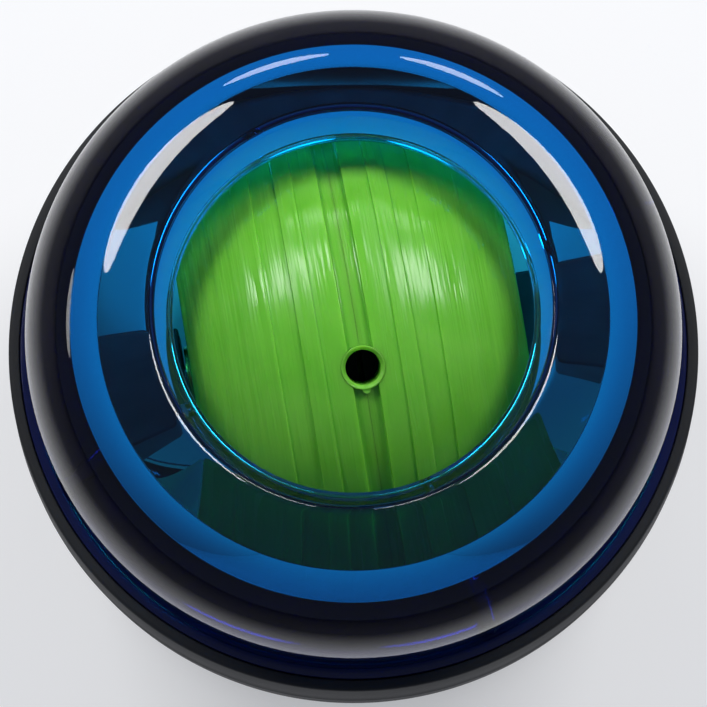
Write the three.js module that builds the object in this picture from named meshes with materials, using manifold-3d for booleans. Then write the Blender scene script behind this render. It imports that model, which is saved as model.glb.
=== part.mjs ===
// Gyroscopic wrist ball, in millimetres, +Z up, standing on its foot pad with the origin under its middle.
// Profiles are lists of [radius, height]. Heights are counted from the axle's centre line, which lies
// standHeight above the surface that the ball stands on.
import * as THREE from 'three';
import { mergeVertices } from 'three/addons/utils/BufferGeometryUtils.js';
import Module from 'manifold-3d';

const wasm = await Module();
wasm.setup();

// Whole object
const RING_YAW_DEG = 9.5;
const ROTOR_ROLL_DEG = 14;

// Clearances
const SEAT_GAP = 0.1;
const PRESS_GAP = 0.3;
const RUNNING_GAP = 0.2;
const ROTOR_GAP = 0.6;
const OVERRUN = 2;

// Facets round each kind of piece
const CASE_FACETS = 48;
const ROTOR_FACETS = 40;
const AXLE_FACETS = 20;
const SCREW_FACETS = 12;

// Flywheel rotor
const ROTOR_RADIUS = 24.3;
const ROTOR_HALF_WIDTH = 17;
const ROTOR_EDGE_CHAMFER = 0.5;
const GROOVE_WIDTH = 2.5;
const GROOVE_DEPTH = 0.9;
const BAND_STEP = 0.25;
const INNER_BAND_EDGE = 3.8;
const MIDDLE_BAND_EDGE = 5.7;
const OUTER_BAND_EDGE = 8.2;
const ROTOR_WALL = 3;
const HUB_WALL = 5.4;

// Flywheel weights
const WEIGHT_THICKNESS = 11;
const WEIGHT_RIM_LENGTH = 5.4;
const WEIGHT_TAPER = 2.6;

// Axle, its hub sleeve, bushes and washers
const AXLE_RADIUS = 1.75;
const TIP_RADIUS = 0.95;
const TIP_LENGTH = 2.6;
const TIP_CHAMFER = 0.3;
const HUB_SLEEVE_WALL = 1.1;
const BUSH_WALL = 0.5;
const WASHER_RADIUS = 3.6;
const WASHER_THICKNESS = 0.6;

// String hole
const STRING_HOLE_RADIUS = 1.75;
const EYELET_WALL = 0.45;
const EYELET_LENGTH = 6;
const EYELET_COUNTERSINK = 0.3;

// Precession ring
const RING_WALL = 1.6;
const BOSS_TOP_WALL = 0.55;
const BOSS_SIDE_WALL = 2.6;

// Race rings
const RACE_TO_RING_GAP = 0.4;
const TIP_TO_TRACK_GAP = 0.25;
const TRACK_DEPTH = 2.7;
const RACE_THICKNESS = 2.4;
const RACE_WALL = 5.3;
const RACE_RIM_HEIGHT = 1.3;
const RACE_RIM_WIDTH = 1.1;
const RACE_RIM_CHAMFER = 0.3;

// Upper shell
const FOOT_TO_RIM_GAP = 0.4;
const DOME_BULGE = 0.2;
const DOME_BULGE_RISE = 12.5;
const DOME_WALL_STEP = 0.2;
const MOUTH_INSET = 6.3;
const LIP_RISE = 0.7;
const LIP_WIDTH = 2.9;
const LIP_DROP = 3;
const LIP_ROUND = 0.9;
const COLLAR_TO_ROTOR_GAP = 2.15;
const COLLAR_WALL = 1.5;
const COLLAR_DRAFT = 0.3;
const COLLAR_EDGE_ROUND = 0.4;
const COLLAR_STAND = 0.6;
const CEILING_FILLET = 0.3;
const CORNER_CHAMFER_WIDTH = 2.1;
const CORNER_CHAMFER_HEIGHT = 3.05;

// Lower shell
const BOWL_CORNER_RADIUS = 14;
const BOWL_TOP_DROP = 2.3;
const BOWL_WALL = 2.3;
const BOWL_TO_ROTOR_GAP = 5.3;
const BASE_LIFT = 0.6;
const FLANGE_THICKNESS = 2.6;
const FLANGE_LEDGE = 2.1;
const FLANGE_SLOPE = 2.4;
const BARE_BOWL_HEIGHT = 14.4;

// Grip sleeve
const GRIP_THICKNESS = 1.6;
const GRIP_TOP_STEP = 0.3;
const GRIP_CROWN = 0.3;
const GRIP_EDGE_ROUND = 0.4;

// Foot pad
const PAD_MARGIN = 2.5;
const PAD_THICKNESS = 1.6;

// Case screws
const SCREW_COUNT = 4;
const FIRST_SCREW_DEG = -64;
const SCREW_TO_TRACK = 1.5;
const SCREW_RADIUS = 0.95;
const SCREW_GRIP_IN_DOME = 4.6;
const SCREW_HEAD_RADIUS = 1.9;
const SCREW_HEAD_HEIGHT = 1.5;
const SCREW_RECESS_RADIUS = 0.9;
const SCREW_RECESS_DEPTH = 0.8;
const SCREW_SEAT_DROP = 5.3;
const WELL_CLEARANCE = 0.4;
const WELL_WALL = 1;

// Levels and radii that follow
const trackTop = TIP_RADIUS + TIP_TO_TRACK_GAP;
const raceTop = trackTop + RACE_THICKNESS;
const ringInner = ROTOR_RADIUS + ROTOR_GAP;
const ringOuter = ringInner + RING_WALL;
const raceInner = ringOuter + RACE_TO_RING_GAP;
const trackOuter = raceInner + TRACK_DEPTH;
const raceRadius = trackOuter + RACE_WALL;
const rimInner = raceRadius - RACE_RIM_WIDTH;
const gripRadius = raceRadius + GRIP_THICKNESS;
const standHeight = ROTOR_RADIUS + BOWL_TO_ROTOR_GAP + BOWL_WALL + BASE_LIFT;
const padRadius = BOWL_CORNER_RADIUS + PAD_MARGIN;
const mouthRadius = ROTOR_RADIUS - MOUTH_INSET;
const screwCircleRadius = trackOuter + SCREW_TO_TRACK;
const bossInner = ROTOR_HALF_WIDTH + WASHER_THICKNESS + RUNNING_GAP + SEAT_GAP;
const axleShoulder = ringOuter + SEAT_GAP;
const axleHalfLength = axleShoulder + TIP_LENGTH;
const sleeveInner = AXLE_RADIUS + SEAT_GAP;
const sleeveOuter = sleeveInner + HUB_SLEEVE_WALL;
const bushInner = AXLE_RADIUS + RUNNING_GAP;
const bushOuter = bushInner + BUSH_WALL;
const ringBore = bushOuter + RUNNING_GAP;
const ringHalfHeight = ringBore + BOSS_TOP_WALL;
const domeFoot = raceTop + SEAT_GAP;
const bowlTop = -raceTop - SEAT_GAP;
const bowlCentreHeight = bowlTop - BOWL_TOP_DROP;
const baseHeight = -standHeight + BASE_LIFT;
const gripBottom = baseHeight + BARE_BOWL_HEIGHT;
const screwHoleRadius = SCREW_RADIUS + PRESS_GAP;
const screwSeat = bowlTop - SCREW_SEAT_DROP;
const wellRadius = SCREW_HEAD_RADIUS + WELL_CLEARANCE;

const materials = {
  clearBlue: finish('#0a5fb4', 0.08, 0, 0.45),
  lowerBlue: finish('#0a4f9c', 0.1, 0, 0.55),
  rubber: finish('#262826', 0.85),
  blackPlastic: finish('#0a0c16', 0.2),
  lime: finish('#6cbe3e', 0.35),
  nylon: finish('#3c4144', 0.5),
  steel: finish('#b9bcc0', 0.25, 1),
  brass: finish('#b8923f', 0.3, 1),
  zinc: finish('#85898c', 0.5, 1),
};

function finish(color, roughness, metalness = 0, opacity = 1) {
  return new THREE.MeshStandardMaterial({ color, roughness, metalness, opacity, transparent: opacity < 1 });
}

// Points along a stretch of an ellipse, in degrees from the outward radius, both ends included
function arc(centreRadius, centreHeight, width, rise, fromDeg, toDeg, steps) {
  return Array.from({ length: steps + 1 }, (_, i) => {
    const angle = THREE.MathUtils.degToRad(fromDeg + ((toDeg - fromDeg) * i) / steps);
    return [centreRadius + width * Math.cos(angle), centreHeight + rise * Math.sin(angle)];
  });
}

// A closed profile turned round the Z axis, with its faces out
function turned(profile, facets) {
  const area = profile.reduce((sum, [r, h], i) => {
    const [nextR, nextH] = profile[(i + 1) % profile.length];
    return sum + r * nextH - nextR * h;
  }, 0);
  const ordered = area > 0 ? profile : [...profile].reverse();
  const points = [...ordered, ordered[0]].map(([r, h]) => new THREE.Vector2(r, h));
  return new THREE.LatheGeometry(points, facets).rotateX(Math.PI / 2);
}

function alongX(geometry) {
  return geometry.rotateY(Math.PI / 2);
}

function rod(radius, fromHeight, toHeight, facets) {
  return turned([[0, fromHeight], [radius, fromHeight], [radius, toHeight], [0, toHeight]], facets);
}

// A geometry as a solid that can be joined and cut
function solid(geometry) {
  const bare = geometry.clone();
  bare.deleteAttribute('normal');
  bare.deleteAttribute('uv');
  const merged = mergeVertices(bare);
  const corners = [];
  for (let i = 0; i < merged.index.count; i += 3) {
    const [a, b, c] = [0, 1, 2].map((k) => merged.index.getX(i + k));
    if (a !== b && b !== c && c !== a) {
      corners.push(a, b, c);
    }
  }
  const vertProperties = new Float32Array(merged.attributes.position.array);
  const triVerts = new Uint32Array(corners);
  return new wasm.Manifold(new wasm.Mesh({ numProp: 3, vertProperties, triVerts }));
}

function geometryOf(manifold) {
  const found = manifold.getMesh();
  const geometry = new THREE.BufferGeometry();
  geometry.setAttribute('position', new THREE.BufferAttribute(found.vertProperties, 3));
  geometry.setIndex(new THREE.BufferAttribute(found.triVerts, 1));
  geometry.computeVertexNormals();
  return geometry;
}

function cut(geometry, ...tools) {
  return geometryOf(tools.reduce((rest, tool) => rest.subtract(solid(tool)), solid(geometry)));
}

function piece(name, geometry, material) {
  const mesh = new THREE.Mesh(geometry, material);
  mesh.name = name;
  return mesh;
}

const screwAngles = Array.from({ length: SCREW_COUNT }, (_, i) => {
  return THREE.MathUtils.degToRad(FIRST_SCREW_DEG + (360 * i) / SCREW_COUNT);
});

// A copy of one upright piece at each case screw
function atScrews(geometry) {
  return screwAngles.map((angle) => {
    const x = screwCircleRadius * Math.cos(angle);
    const y = screwCircleRadius * Math.sin(angle);
    return geometry.clone().translate(x, y, 0);
  });
}

// Outer outline of the lower bowl, stepped out by some thickness
function bowlArc(thickness, fromDeg, toDeg, steps) {
  const width = raceRadius - BOWL_CORNER_RADIUS + thickness;
  const rise = bowlCentreHeight - baseHeight + thickness;
  return arc(BOWL_CORNER_RADIUS, bowlCentreHeight, width, rise, fromDeg, toDeg, steps);
}

// Angle at which that outline comes down to a height, in degrees below its widest level
function bowlAngle(thickness, height) {
  const rise = bowlCentreHeight - baseHeight + thickness;
  return THREE.MathUtils.radToDeg(Math.asin((bowlCentreHeight - height) / rise));
}

// Upper shell: thick wall and ceiling, and a lip that falls in a funnel to the mouth and its collar
function upperShell() {
  const footRadius = rimInner - FOOT_TO_RIM_GAP;
  const crestRadius = mouthRadius + LIP_WIDTH;
  const bulgeWidth = footRadius + DOME_BULGE - crestRadius;
  const crest = ROTOR_RADIUS + LIP_RISE;
  const shoulder = crest - DOME_BULGE_RISE;
  const collarFront = mouthRadius + COLLAR_DRAFT;
  const collarFoot = Math.sqrt((ROTOR_RADIUS + COLLAR_TO_ROTOR_GAP) ** 2 - collarFront ** 2);
  const collarBack = collarFront + COLLAR_WALL;
  const wallInner = raceInner + DOME_WALL_STEP;
  const ceiling = collarFoot + COLLAR_STAND;
  const profile = [
    [wallInner, domeFoot],
    [footRadius, domeFoot],
    ...arc(crestRadius, shoulder, bulgeWidth, DOME_BULGE_RISE, 0, 90, 11),
    ...arc(crestRadius, crest - LIP_ROUND, LIP_ROUND, LIP_ROUND, 109, 147, 2),
    [mouthRadius, crest - LIP_DROP],
    [collarFront, collarFoot + COLLAR_EDGE_ROUND],
    [collarFront + COLLAR_EDGE_ROUND, collarFoot],
    [collarBack, collarFoot],
    [collarBack, ceiling - CEILING_FILLET],
    [collarBack + CEILING_FILLET, ceiling],
    [wallInner - CORNER_CHAMFER_WIDTH, ceiling],
    [wallInner, ceiling - CORNER_CHAMFER_HEIGHT],
  ];
  const holeTop = domeFoot + SCREW_GRIP_IN_DOME + PRESS_GAP;
  const hole = rod(screwHoleRadius, domeFoot - OVERRUN, holeTop, SCREW_FACETS);
  return cut(turned(profile, CASE_FACETS), ...atScrews(hole));
}

// Race rings: flat tracks above and below the axle's tips
function upperRace() {
  const rimTop = raceTop + RACE_RIM_HEIGHT;
  const profile = [
    [raceInner, trackTop],
    [raceRadius, trackTop],
    [raceRadius, rimTop - RACE_RIM_CHAMFER],
    [raceRadius - RACE_RIM_CHAMFER, rimTop],
    [rimInner, rimTop],
    [rimInner, raceTop],
    [raceInner, raceTop],
  ];
  const hole = rod(screwHoleRadius, trackTop - OVERRUN, rimTop + OVERRUN, SCREW_FACETS);
  return cut(turned(profile, CASE_FACETS), ...atScrews(hole));
}

function lowerRace() {
  const wallTop = trackTop - SEAT_GAP;
  const profile = [
    [raceInner, -raceTop],
    [raceRadius, -raceTop],
    [raceRadius, wallTop],
    [trackOuter, wallTop],
    [trackOuter, -trackTop],
    [raceInner, -trackTop],
  ];
  const hole = rod(screwHoleRadius, -raceTop - OVERRUN, wallTop + OVERRUN, SCREW_FACETS);
  return cut(turned(profile, CASE_FACETS), ...atScrews(hole));
}

// Lower shell: bowl with an inward flange, four screw wells under the grip and a recess for the foot pad
function lowerShell() {
  const coveredEnd = bowlAngle(0, gripBottom);
  const bareStart = bowlAngle(GRIP_THICKNESS, gripBottom);
  const baseEnd = bowlAngle(GRIP_THICKNESS, baseHeight);
  const recess = -standHeight + PAD_THICKNESS + SEAT_GAP;
  const flangeRadius = screwCircleRadius - FLANGE_LEDGE;
  const outline = [
    [0, bowlTop],
    [raceRadius, bowlTop],
    ...bowlArc(0, 0, -coveredEnd, 6),
    ...bowlArc(GRIP_THICKNESS, -bareStart, -baseEnd, 4),
    [padRadius + PRESS_GAP, baseHeight],
    [padRadius + PRESS_GAP, recess],
    [0, recess],
  ];
  const hollow = [
    [0, bowlTop + OVERRUN],
    [flangeRadius, bowlTop + OVERRUN],
    [flangeRadius, bowlTop - FLANGE_THICKNESS],
    [flangeRadius + FLANGE_SLOPE, bowlTop - FLANGE_THICKNESS - FLANGE_SLOPE],
    ...bowlArc(-BOWL_WALL, -15, -90, 6),
    [0, baseHeight + BOWL_WALL],
  ];
  const body = solid(turned(outline, CASE_FACETS));
  const post = rod(wellRadius + WELL_WALL, baseHeight, bowlTop, SCREW_FACETS);
  const well = rod(wellRadius, baseHeight - OVERRUN, screwSeat, SCREW_FACETS);
  const hole = rod(screwHoleRadius, screwSeat - OVERRUN, bowlTop + OVERRUN, SCREW_FACETS);
  let shell = body.subtract(solid(turned(hollow, CASE_FACETS)));
  for (const one of atScrews(post)) {
    shell = shell.add(solid(one).intersect(body));
  }
  for (const one of [...atScrews(well), ...atScrews(hole)]) {
    shell = shell.subtract(solid(one));
  }
  return geometryOf(shell);
}

function gripSleeve() {
  const top = raceTop + RACE_RIM_HEIGHT - GRIP_TOP_STEP;
  const inner = raceRadius + SEAT_GAP;
  const bottom = gripBottom + PRESS_GAP;
  const innerEnd = bowlAngle(SEAT_GAP, bottom);
  const outerEnd = bowlAngle(GRIP_THICKNESS, bottom + GRIP_EDGE_ROUND);
  const profile = [
    [inner, top],
    [gripRadius - GRIP_CROWN - GRIP_EDGE_ROUND, top],
    [gripRadius - GRIP_CROWN, top - GRIP_EDGE_ROUND],
    [gripRadius, 0],
    ...bowlArc(GRIP_THICKNESS, 0, -outerEnd, 7),
    ...bowlArc(SEAT_GAP, -innerEnd, 0, 6),
  ];
  return turned(profile, CASE_FACETS);
}

function caseScrew() {
  const tip = domeFoot + SCREW_GRIP_IN_DOME;
  const headTop = screwSeat - SEAT_GAP;
  const headFoot = headTop - SCREW_HEAD_HEIGHT;
  return turned([
    [0, headFoot + SCREW_RECESS_DEPTH],
    [SCREW_RECESS_RADIUS, headFoot],
    [SCREW_HEAD_RADIUS, headFoot],
    [SCREW_HEAD_RADIUS, headTop],
    [SCREW_RADIUS, headTop],
    [SCREW_RADIUS, tip - SCREW_RADIUS],
    [0, tip],
  ], SCREW_FACETS);
}

// Precession ring: a band with two blocks that hold the axle's bushes
function precessionRing() {
  const band = turned([
    [ringInner, -ringHalfHeight],
    [ringOuter, -ringHalfHeight],
    [ringOuter, ringHalfHeight],
    [ringInner, ringHalfHeight],
  ], CASE_FACETS);
  const blockOuter = (ringInner + ringOuter) / 2;
  const blockWidth = 2 * (ringBore + BOSS_SIDE_WALL);
  const block = new THREE.BoxGeometry(blockOuter - bossInner, blockWidth, 2 * ringHalfHeight);
  const blockCentre = (bossInner + blockOuter) / 2;
  const bore = alongX(rod(ringBore, -ringOuter - OVERRUN, ringOuter + OVERRUN, AXLE_FACETS));
  return geometryOf(
    solid(band)
      .add(solid(block.clone().translate(blockCentre, 0, 0)))
      .add(solid(block.clone().translate(-blockCentre, 0, 0)))
      .subtract(solid(bore)),
  );
}

// A tube round the axle, between two distances from the rotor's middle
function axleTube(inner, outer, from, to, side) {
  const profile = [[inner, side * from], [outer, side * from], [outer, side * to], [inner, side * to]];
  return alongX(turned(profile, AXLE_FACETS));
}

function axleShaft() {
  return alongX(turned([
    [0, -axleHalfLength],
    [TIP_RADIUS - TIP_CHAMFER, -axleHalfLength],
    [TIP_RADIUS, -axleHalfLength + TIP_CHAMFER],
    [TIP_RADIUS, -axleShoulder],
    [AXLE_RADIUS, -axleShoulder],
    [AXLE_RADIUS, axleShoulder],
    [TIP_RADIUS, axleShoulder],
    [TIP_RADIUS, axleHalfLength - TIP_CHAMFER],
    [TIP_RADIUS - TIP_CHAMFER, axleHalfLength],
    [0, axleHalfLength],
  ], AXLE_FACETS));
}

// Radius of the rotor's ball at a distance from its middle
function ballRadius(distance, step = 0) {
  return Math.sqrt((ROTOR_RADIUS - step) ** 2 - distance ** 2);
}

const stringHoleCut = rod(
  STRING_HOLE_RADIUS + EYELET_WALL + RUNNING_GAP,
  ROTOR_RADIUS - EYELET_LENGTH - OVERRUN,
  ROTOR_RADIUS + OVERRUN,
  AXLE_FACETS,
);
const pocketInner = sleeveOuter + RUNNING_GAP + HUB_WALL;
const pocketOuter = ballRadius(0) - ROTOR_WALL - GROOVE_DEPTH;
const pocketDepth = WEIGHT_THICKNESS + 2 * PRESS_GAP;
const pocketRimLength = WEIGHT_RIM_LENGTH + PRESS_GAP;
const pocketEndRadius = pocketOuter - WEIGHT_TAPER;

// Rotor half: a ball end with shallow bands, a groove edge and a pocket for its weight
function rotorHalf(side) {
  const bore = sleeveOuter + RUNNING_GAP;
  const grooveEdge = GROOVE_WIDTH / 2;
  const flatRadius = ballRadius(ROTOR_HALF_WIDTH);
  const ballStart = THREE.MathUtils.radToDeg(Math.asin(OUTER_BAND_EDGE / ROTOR_RADIUS));
  const ballEnd = THREE.MathUtils.radToDeg(Math.asin((ROTOR_HALF_WIDTH - ROTOR_EDGE_CHAMFER) / ROTOR_RADIUS));
  const profile = [
    [bore, SEAT_GAP / 2],
    [bore, ROTOR_HALF_WIDTH],
    [flatRadius - ROTOR_EDGE_CHAMFER, ROTOR_HALF_WIDTH],
    ...arc(0, 0, ROTOR_RADIUS, ROTOR_RADIUS, ballEnd, ballStart, 4),
    [ballRadius(OUTER_BAND_EDGE, BAND_STEP), OUTER_BAND_EDGE],
    [ballRadius(MIDDLE_BAND_EDGE, BAND_STEP), MIDDLE_BAND_EDGE],
    [ballRadius(MIDDLE_BAND_EDGE), MIDDLE_BAND_EDGE],
    [ballRadius(INNER_BAND_EDGE), INNER_BAND_EDGE],
    [ballRadius(INNER_BAND_EDGE, BAND_STEP), INNER_BAND_EDGE],
    [ballRadius(grooveEdge, BAND_STEP), grooveEdge],
    [ballRadius(grooveEdge) - GROOVE_DEPTH, grooveEdge],
    [ballRadius(grooveEdge) - GROOVE_DEPTH, SEAT_GAP / 2],
    [pocketOuter, SEAT_GAP / 2],
    [pocketOuter, pocketRimLength],
    [pocketEndRadius, pocketDepth],
    [pocketInner, pocketDepth],
    [pocketInner, SEAT_GAP / 2],
  ].map(([radius, distance]) => [radius, side * distance]);
  return cut(alongX(turned(profile, ROTOR_FACETS)), stringHoleCut);
}

function flywheelWeight(side) {
  const profile = [
    [pocketInner + PRESS_GAP, PRESS_GAP],
    [pocketOuter - PRESS_GAP, PRESS_GAP],
    [pocketOuter - PRESS_GAP, WEIGHT_RIM_LENGTH],
    [pocketEndRadius - PRESS_GAP, PRESS_GAP + WEIGHT_THICKNESS],
    [pocketInner + PRESS_GAP, PRESS_GAP + WEIGHT_THICKNESS],
  ].map(([radius, distance]) => [radius, side * distance]);
  return cut(alongX(turned(profile, ROTOR_FACETS)), stringHoleCut);
}

function stringEyelet() {
  const outer = STRING_HOLE_RADIUS + EYELET_WALL;
  const top = ROTOR_RADIUS - BAND_STEP;
  return turned([
    [STRING_HOLE_RADIUS, ROTOR_RADIUS - EYELET_LENGTH],
    [outer, ROTOR_RADIUS - EYELET_LENGTH],
    [outer, top],
    [STRING_HOLE_RADIUS + EYELET_COUNTERSINK, top],
    [STRING_HOLE_RADIUS, top - EYELET_COUNTERSINK],
  ], AXLE_FACETS);
}

// Rotor with all that spins on the axle
const rotor = new THREE.Group();
rotor.rotation.x = THREE.MathUtils.degToRad(ROTOR_ROLL_DEG);
rotor.add(
  piece('axle_shaft', axleShaft(), materials.steel),
  piece(
    'hub_sleeve',
    axleTube(sleeveInner, sleeveOuter, -ROTOR_HALF_WIDTH, ROTOR_HALF_WIDTH, 1),
    materials.brass,
  ),
  piece('string_eyelet', stringEyelet(), materials.lime),
);
for (const [hand, side] of [['left', -1], ['right', 1]]) {
  const washerStart = ROTOR_HALF_WIDTH + SEAT_GAP;
  const washer = axleTube(bushInner, WASHER_RADIUS, washerStart, washerStart + WASHER_THICKNESS, side);
  rotor.add(
    piece(`rotor_half_${hand}`, rotorHalf(side), materials.lime),
    piece(`flywheel_weight_${hand}`, flywheelWeight(side), materials.zinc),
    piece(`thrust_washer_${hand}`, washer, materials.brass),
  );
}

// Precession ring, its bushes and the rotor turn together about the upright axis
const ring = new THREE.Group();
ring.rotation.z = THREE.MathUtils.degToRad(RING_YAW_DEG);
ring.add(rotor, piece('precession_ring', precessionRing(), materials.nylon));
for (const [hand, side] of [['left', -1], ['right', 1]]) {
  const bush = axleTube(bushInner, bushOuter, bossInner, ringOuter - PRESS_GAP, side);
  ring.add(piece(`axle_bush_${hand}`, bush, materials.brass));
}

// Case
const group = new THREE.Group();
group.position.z = standHeight;
group.add(
  ring,
  piece('upper_shell', upperShell(), materials.clearBlue),
  piece('upper_race_ring', upperRace(), materials.blackPlastic),
  piece('lower_race_ring', lowerRace(), materials.blackPlastic),
  piece('lower_shell', lowerShell(), materials.lowerBlue),
  piece('grip_sleeve', gripSleeve(), materials.rubber),
  piece('foot_pad', rod(padRadius, -standHeight, -standHeight + PAD_THICKNESS, CASE_FACETS), materials.rubber),
  ...atScrews(caseScrew()).map((geometry, i) => piece(`case_screw_${i + 1}`, geometry, materials.steel)),
);

export default group;
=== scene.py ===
import math

import bmesh
import bpy
from mathutils import Matrix, Vector


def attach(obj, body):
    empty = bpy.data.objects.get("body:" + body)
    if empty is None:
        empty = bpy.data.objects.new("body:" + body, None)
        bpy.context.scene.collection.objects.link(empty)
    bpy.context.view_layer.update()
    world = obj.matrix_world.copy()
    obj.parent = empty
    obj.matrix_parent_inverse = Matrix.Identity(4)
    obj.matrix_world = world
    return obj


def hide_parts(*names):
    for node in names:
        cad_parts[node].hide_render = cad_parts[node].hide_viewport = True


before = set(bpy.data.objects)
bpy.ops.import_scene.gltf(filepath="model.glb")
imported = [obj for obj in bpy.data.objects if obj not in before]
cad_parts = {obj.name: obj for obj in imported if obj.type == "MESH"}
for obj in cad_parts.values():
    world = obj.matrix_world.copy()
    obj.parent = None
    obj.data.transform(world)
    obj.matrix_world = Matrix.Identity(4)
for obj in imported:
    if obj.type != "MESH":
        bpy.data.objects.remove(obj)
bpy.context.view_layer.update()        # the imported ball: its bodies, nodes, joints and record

# Gyroscopic wrist ball. Sizes are in millimetres, and heights are counted from the axle's centre line.
MM = 0.001
STAND_HEIGHT = 32.5
RING_YAW_DEG = 9.5
ROTOR_ROLL_DEG = 14

# Clearances
SEAT_GAP = 0.1
RUNNING_GAP = 0.2
PRESS_GAP = 0.3
OVERRUN = 2

# Rotor
ROTOR_RADIUS = 24.3
ROTOR_HALF_WIDTH = 17
ROTOR_EDGE_ROUND = 0.45
GROOVE_WIDTH = 2.5
GROOVE_DEPTH = 0.9
BAND_STEP = 0.25
INNER_BAND_EDGE = 3.8
MIDDLE_BAND_EDGE = 5.7
OUTER_BAND_EDGE = 8.2
STEP_ROUND = 0.1
GROOVE_EDGE_ROUND = 0.2
ROTOR_WALL = 3
HUB_WALL = 5.4
WEIGHT_THICKNESS = 11
WEIGHT_RIM_LENGTH = 5.4
WEIGHT_TAPER = 2.6
STRING_HOLE_RADIUS = 1.75
EYELET_WALL = 0.45
EYELET_FIT = 0.02
HALVES_FIT = 0.02
EYELET_LENGTH = 6
EYELET_COUNTERSINK = 0.3
GATE_NUB_RADIUS = 0.42
GATE_NUB_HEIGHT = 0.75

# Axle and what runs on it
AXLE_RADIUS = 1.75
TIP_RADIUS = 0.95
TIP_LENGTH = 2.6
TIP_ROUND = 0.3
HUB_SLEEVE_WALL = 1.1
BUSH_WALL = 0.5
WASHER_RADIUS = 3.6
WASHER_THICKNESS = 0.6
CENTRE_DRILL_RADIUS = 0.35
CENTRE_DRILL_DEPTH = 0.3
TUBE_EDGE_ROUND = 0.1

# Precession ring and race rings
RING_INNER = 24.9
RING_OUTER = 26.5
RING_HALF_HEIGHT = 3.2
RING_EDGE_ROUND = 0.3
BLOCK_INNER = 17.9
BLOCK_HALF_WIDTH = 5.25
BLOCK_EDGE_ROUND = 0.35
RACE_INNER = 26.9
TRACK_OUTER = 29.6
TRACK_TOP = 1.2
RACE_TOP = 3.6
RACE_RADIUS = 34.9
RACE_RIM_HEIGHT = 1.3
RACE_RIM_WIDTH = 1.1
RACE_RIM_ROUND = 0.35
MOULDED_ROUND = 0.15

# Upper shell
DOME_FOOT = 3.7
DOME_FOOT_RADIUS = 33.4
DOME_WIDEST_RADIUS = 33.6
DOME_HEIGHT = 25
DOME_BULGE_RISE = 12.5
MOUTH_RADIUS = 18
LIP_WIDTH = 2.9
LIP_DROP = 3
LIP_ROUND = 1.6
MOUTH_EDGE_ROUND = 0.25
COLLAR_FRONT = 18.3
COLLAR_FOOT = 19.1
COLLAR_WALL = 1.5
COLLAR_EDGE_ROUND = 0.4
COLLAR_STAND = 0.6
CEILING_FILLET = 0.3
LIP_START_DEG = 98
LIP_END_DEG = 147
DOME_WALL_INNER = 27.1
CORNER_CHAMFER_WIDTH = 2.1
CORNER_CHAMFER_HEIGHT = 3.05

# Lower shell and foot pad
BOWL_TOP = -3.7
BOWL_CENTRE_HEIGHT = -6
BOWL_CORNER_RADIUS = 14
BASE_HEIGHT = -31.9
BOWL_WALL = 2.3
FLANGE_RADIUS = 29
FLANGE_THICKNESS = 2.6
FLANGE_SLOPE = 2.4
HOLLOW_START_DEG = -15
PAD_RADIUS = 16.5
PAD_THICKNESS = 1.6
PAD_EDGE_ROUND = 0.4
PAD_GROOVE_RADII = (5, 9, 13)
PAD_GROOVE_WIDTH = 0.8
PAD_GROOVE_DEPTH = 0.3

# Grip sleeve
GRIP_THICKNESS = 1.6
GRIP_TOP = 4.6
GRIP_CROWN = 0.3
GRIP_BOTTOM = -17.5
GRIP_EDGE_ROUND = 0.5
PARTING_RIDGE = 0.08
PARTING_RIDGE_WIDTH = 0.5

# Case screws
SCREW_COUNT = 4
FIRST_SCREW_DEG = -64
SCREW_CIRCLE_RADIUS = 31.1
SCREW_HOLE_RADIUS = 1.25
SCREW_HOLE_TOP = 8.6
SCREW_SEAT = -9
SCREW_TIP = 8.3
SCREW_CORE_RADIUS = 0.78
SCREW_THREAD_RADIUS = 1.08
SCREW_PITCH = 1.1
SCREW_POINT_LENGTH = 1.1
SCREW_HEAD_RADIUS = 1.9
SCREW_HEAD_HEIGHT = 1.4
CROSS_WIDTH = 0.5
CROSS_LENGTH = 2.1
CROSS_DEPTH = 0.8
WELL_RADIUS = 2.3
WELL_WALL = 1

# Mesh fineness
CASE_FACETS = 256
ROTOR_FACETS = 224
AXLE_FACETS = 64
HOLE_FACETS = 40
SCREW_FACETS = 32
SCREW_HEAD_FACETS = 40
THREAD_STEPS = 28
SHARP_CORNER_DEG = 32
LARGEST_ROUNDING_SHARE = 0.49
ON_AXIS_RADIUS = 1e-6
MERGE_DISTANCE = 1e-4

# Clear plastic: what its absorption leaves of red, green and blue light, and how dense it is
TINT = (0.0, 0.825, 0.945, 1)
DOME_DENSITY = 800
BOWL_DENSITY = 950


# Mesh work

def arc(centre_radius, centre_height, width, rise, from_deg, to_deg, steps):
    """Points along a stretch of an ellipse, in degrees from the outward radius."""
    points = []
    for i in range(steps + 1):
        angle = math.radians(from_deg + (to_deg - from_deg) * i / steps)
        points.append((centre_radius + width * math.cos(angle), centre_height + rise * math.sin(angle)))
    return points


def rounded(corners, steps=5):
    """An outline whose (radius, height, rounding) corners are rounded. Its (radius, height) points stay."""
    outline = []
    for i, corner in enumerate(corners):
        if len(corner) == 2:
            outline.append(corner)
            continue
        here = Vector(corner[:2])
        back = Vector(corners[i - 1][:2]) - here
        ahead = Vector(corners[(i + 1) % len(corners)][:2]) - here
        reach = corner[2] / math.tan(back.angle(ahead) / 2)
        reach = min(reach, back.length * LARGEST_ROUNDING_SHARE, ahead.length * LARGEST_ROUNDING_SHARE)
        start = here + back.normalized() * reach
        end = here + ahead.normalized() * reach
        for k in range(steps + 1):
            t = k / steps
            point = start * (1 - t) ** 2 + here * 2 * t * (1 - t) + end * t ** 2
            outline.append((point.x, point.y))
    return outline


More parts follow.
